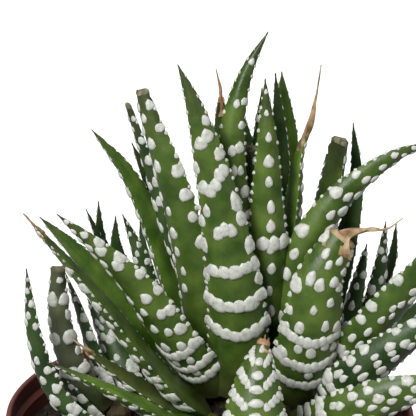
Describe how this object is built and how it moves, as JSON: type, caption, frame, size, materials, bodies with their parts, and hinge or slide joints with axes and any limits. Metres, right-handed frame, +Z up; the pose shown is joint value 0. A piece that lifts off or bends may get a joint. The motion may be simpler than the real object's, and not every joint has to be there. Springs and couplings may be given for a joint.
{
  "type": "potted haworthia",
  "caption": "Clump of banded haworthia rosettes with pointed green leaves and raised white bumps, growing in soil in a thin round plastic nursery pot.",
  "frame": {"origin": "centre of the pot's underside, on the surface it stands on", "axes": "+Z up through the pot, -Y towards the side with the broad banded front leaf"},
  "size_m": [0.1017, 0.09, 0.1657],
  "materials": {
    "pot_plastic": "thin reddish brown moulded plastic, satin",
    "soil_mix": "dark granular potting mix of peat and bark",
    "stem_skin": "rough olive brown stem with old leaf bases",
    "leaf_skin": "smooth green succulent skin with raised white bumps"
  },
  "bodies": {
    "root": {"front_leaf_01": "leaf_skin", "front_leaf_02": "leaf_skin", "front_leaf_03": "leaf_skin", "front_leaf_04": "leaf_skin", "front_stem": "stem_skin", "left_leaf_01": "leaf_skin", "left_leaf_02": "leaf_skin", "left_leaf_03": "leaf_skin", "left_leaf_04": "leaf_skin", "left_leaf_05": "leaf_skin", "left_stem": "stem_skin", "main_leaf_01": "leaf_skin", "main_leaf_02": "leaf_skin", "main_leaf_03": "leaf_skin", "main_leaf_04": "leaf_skin", "main_leaf_05": "leaf_skin", "main_leaf_06": "leaf_skin", "main_leaf_07": "leaf_skin", "main_leaf_08": "leaf_skin", "main_leaf_09": "leaf_skin", "main_leaf_10": "leaf_skin", "main_leaf_11": "leaf_skin", "main_leaf_12": "leaf_skin", "main_leaf_13": "leaf_skin", "main_leaf_14": "leaf_skin", "main_leaf_15": "leaf_skin", "main_leaf_16": "leaf_skin", "main_leaf_17": "leaf_skin", "main_leaf_18": "leaf_skin", "main_leaf_19": "leaf_skin", "main_leaf_20": "leaf_skin", "main_leaf_21": "leaf_skin", "main_leaf_22": "leaf_skin", "main_leaf_23": "leaf_skin", "main_leaf_24": "leaf_skin", "main_leaf_25": "leaf_skin", "main_stem": "stem_skin", "pot": "pot_plastic", "rear_left_leaf_01": "leaf_skin", "rear_left_leaf_02": "leaf_skin", "rear_left_leaf_03": "leaf_skin", "rear_left_leaf_04": "leaf_skin", "rear_left_leaf_05": "leaf_skin", "rear_left_stem": "stem_skin", "rear_right_leaf_01": "leaf_skin", "rear_right_leaf_02": "leaf_skin", "rear_right_leaf_03": "leaf_skin", "rear_right_stem": "stem_skin", "right_leaf_01": "leaf_skin", "right_leaf_02": "leaf_skin", "right_leaf_03": "leaf_skin", "right_leaf_04": "leaf_skin", "right_leaf_05": "leaf_skin", "right_leaf_06": "leaf_skin", "right_leaf_07": "leaf_skin", "right_leaf_08": "leaf_skin", "right_leaf_09": "leaf_skin", "right_stem": "stem_skin", "soil": "soil_mix"}
  },
  "joints": []
}
